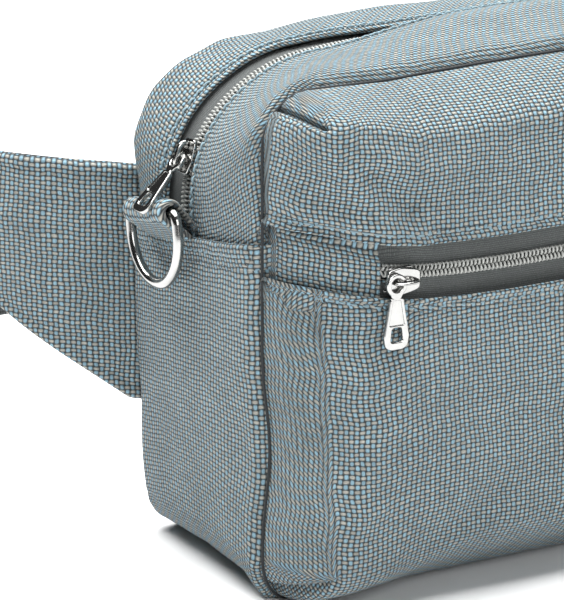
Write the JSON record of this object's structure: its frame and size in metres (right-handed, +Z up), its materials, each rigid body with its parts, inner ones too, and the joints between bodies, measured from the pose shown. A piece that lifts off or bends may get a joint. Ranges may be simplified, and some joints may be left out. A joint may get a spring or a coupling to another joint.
{
  "type": "waist bag",
  "caption": "Zipped woven fabric waist bag with a front zip pocket, side ring tabs, padded wings and a webbing belt closed by a side-release buckle.",
  "frame": {"origin": "centre of the bag's flat base", "axes": "+Z up, -Y out of the front pocket, +X to the right seen from the front; the belt lies on the +Y side"},
  "size_m": [0.343, 0.3018, 0.14],
  "materials": {
    "outer_fabric": "two-tone plain weave, light blue warp and grey-beige weft, matte",
    "lining": "thin dark woven lining",
    "mesh": "dark spacer mesh",
    "binding": "woven binding tape",
    "zip_tape": "dark grey knitted zip tape",
    "zip_coil": "silvery grey polyester coil",
    "nickel": "bright nickel plate",
    "webbing": "grey woven belt webbing",
    "buckle_plastic": "fine-grained moulded acetal"
  },
  "bodies": {
    "bag": {"gusset_lower": "outer_fabric", "gusset_front_strip": "outer_fabric", "gusset_back_strip": "outer_fabric", "back_panel": "outer_fabric", "front_panel_upper": "outer_fabric", "front_panel_lower": "outer_fabric", "pocket_zip_end_left": "outer_fabric", "pocket_zip_end_right": "outer_fabric", "ring_tab_left": "outer_fabric", "ring_tab_right": "outer_fabric", "wing_left": "outer_fabric", "wing_right": "outer_fabric", "main_lining": "lining", "pocket_divider": "lining", "wing_mesh_left": "mesh", "wing_mesh_right": "mesh", "front_seam_binding": "binding", "back_seam_binding": "binding", "main_zip_tape_front": "zip_tape", "main_zip_tape_back": "zip_tape", "pocket_zip_tape_upper": "zip_tape", "pocket_zip_tape_lower": "zip_tape", "main_zip_coil_front": "zip_coil", "main_zip_coil_back": "zip_coil", "pocket_zip_coil_upper": "zip_coil", "pocket_zip_coil_lower": "zip_coil", "webbing_left": "webbing", "webbing_right": "webbing", "buckle_socket": "buckle_plastic"},
    "main_slider": {"main_slider": "nickel"},
    "main_pull": {"main_pull": "nickel"},
    "pocket_slider": {"pocket_slider": "nickel"},
    "pocket_pull": {"pocket_pull": "nickel"},
    "ring_left": {"d_ring_left": "nickel"},
    "ring_right": {"d_ring_right": "nickel"},
    "prongs": {"buckle_prongs": "buckle_plastic", "strap_keeper": "buckle_plastic"}
  },
  "joints": [
    {"name": "main_zip_run", "type": "hinge", "parent": "bag", "child": "main_slider", "pos_m": [-0.08, 0.005, 0.1], "axis": [0, 1, 0], "range_deg": [0, 72]},
    {"name": "main_pull_swing", "type": "hinge", "parent": "main_slider", "child": "main_pull", "pos_m": [-0.11919, 0.005, 0.11388], "axis": [0, 1, 0], "range_deg": [0, 135]},
    {"name": "pocket_zip_run", "type": "slide", "parent": "bag", "child": "pocket_slider", "axis": [1, 0, 0], "range_m": [0, 0.176]},
    {"name": "pocket_pull_swing", "type": "hinge", "parent": "pocket_slider", "child": "pocket_pull", "pos_m": [-0.0925, -0.05958, 0.0905], "axis": [0, 1, 0], "range_deg": [-15, 175]},
    {"name": "ring_left_swing", "type": "hinge", "parent": "bag", "child": "ring_left", "pos_m": [-0.127, 0.0075, 0.099], "axis": [0, 0.9848, -0.1736], "range_deg": [0, 85]},
    {"name": "ring_right_swing", "type": "hinge", "parent": "bag", "child": "ring_right", "pos_m": [0.127, 0.0075, 0.099], "axis": [0, -0.9848, 0.1736], "range_deg": [0, 150]},
    {"name": "buckle_release", "type": "slide", "parent": "bag", "child": "prongs", "axis": [1, 0, 0], "range_m": [0, 0.035], "deforming": ["webbing_right"]}
  ]
}
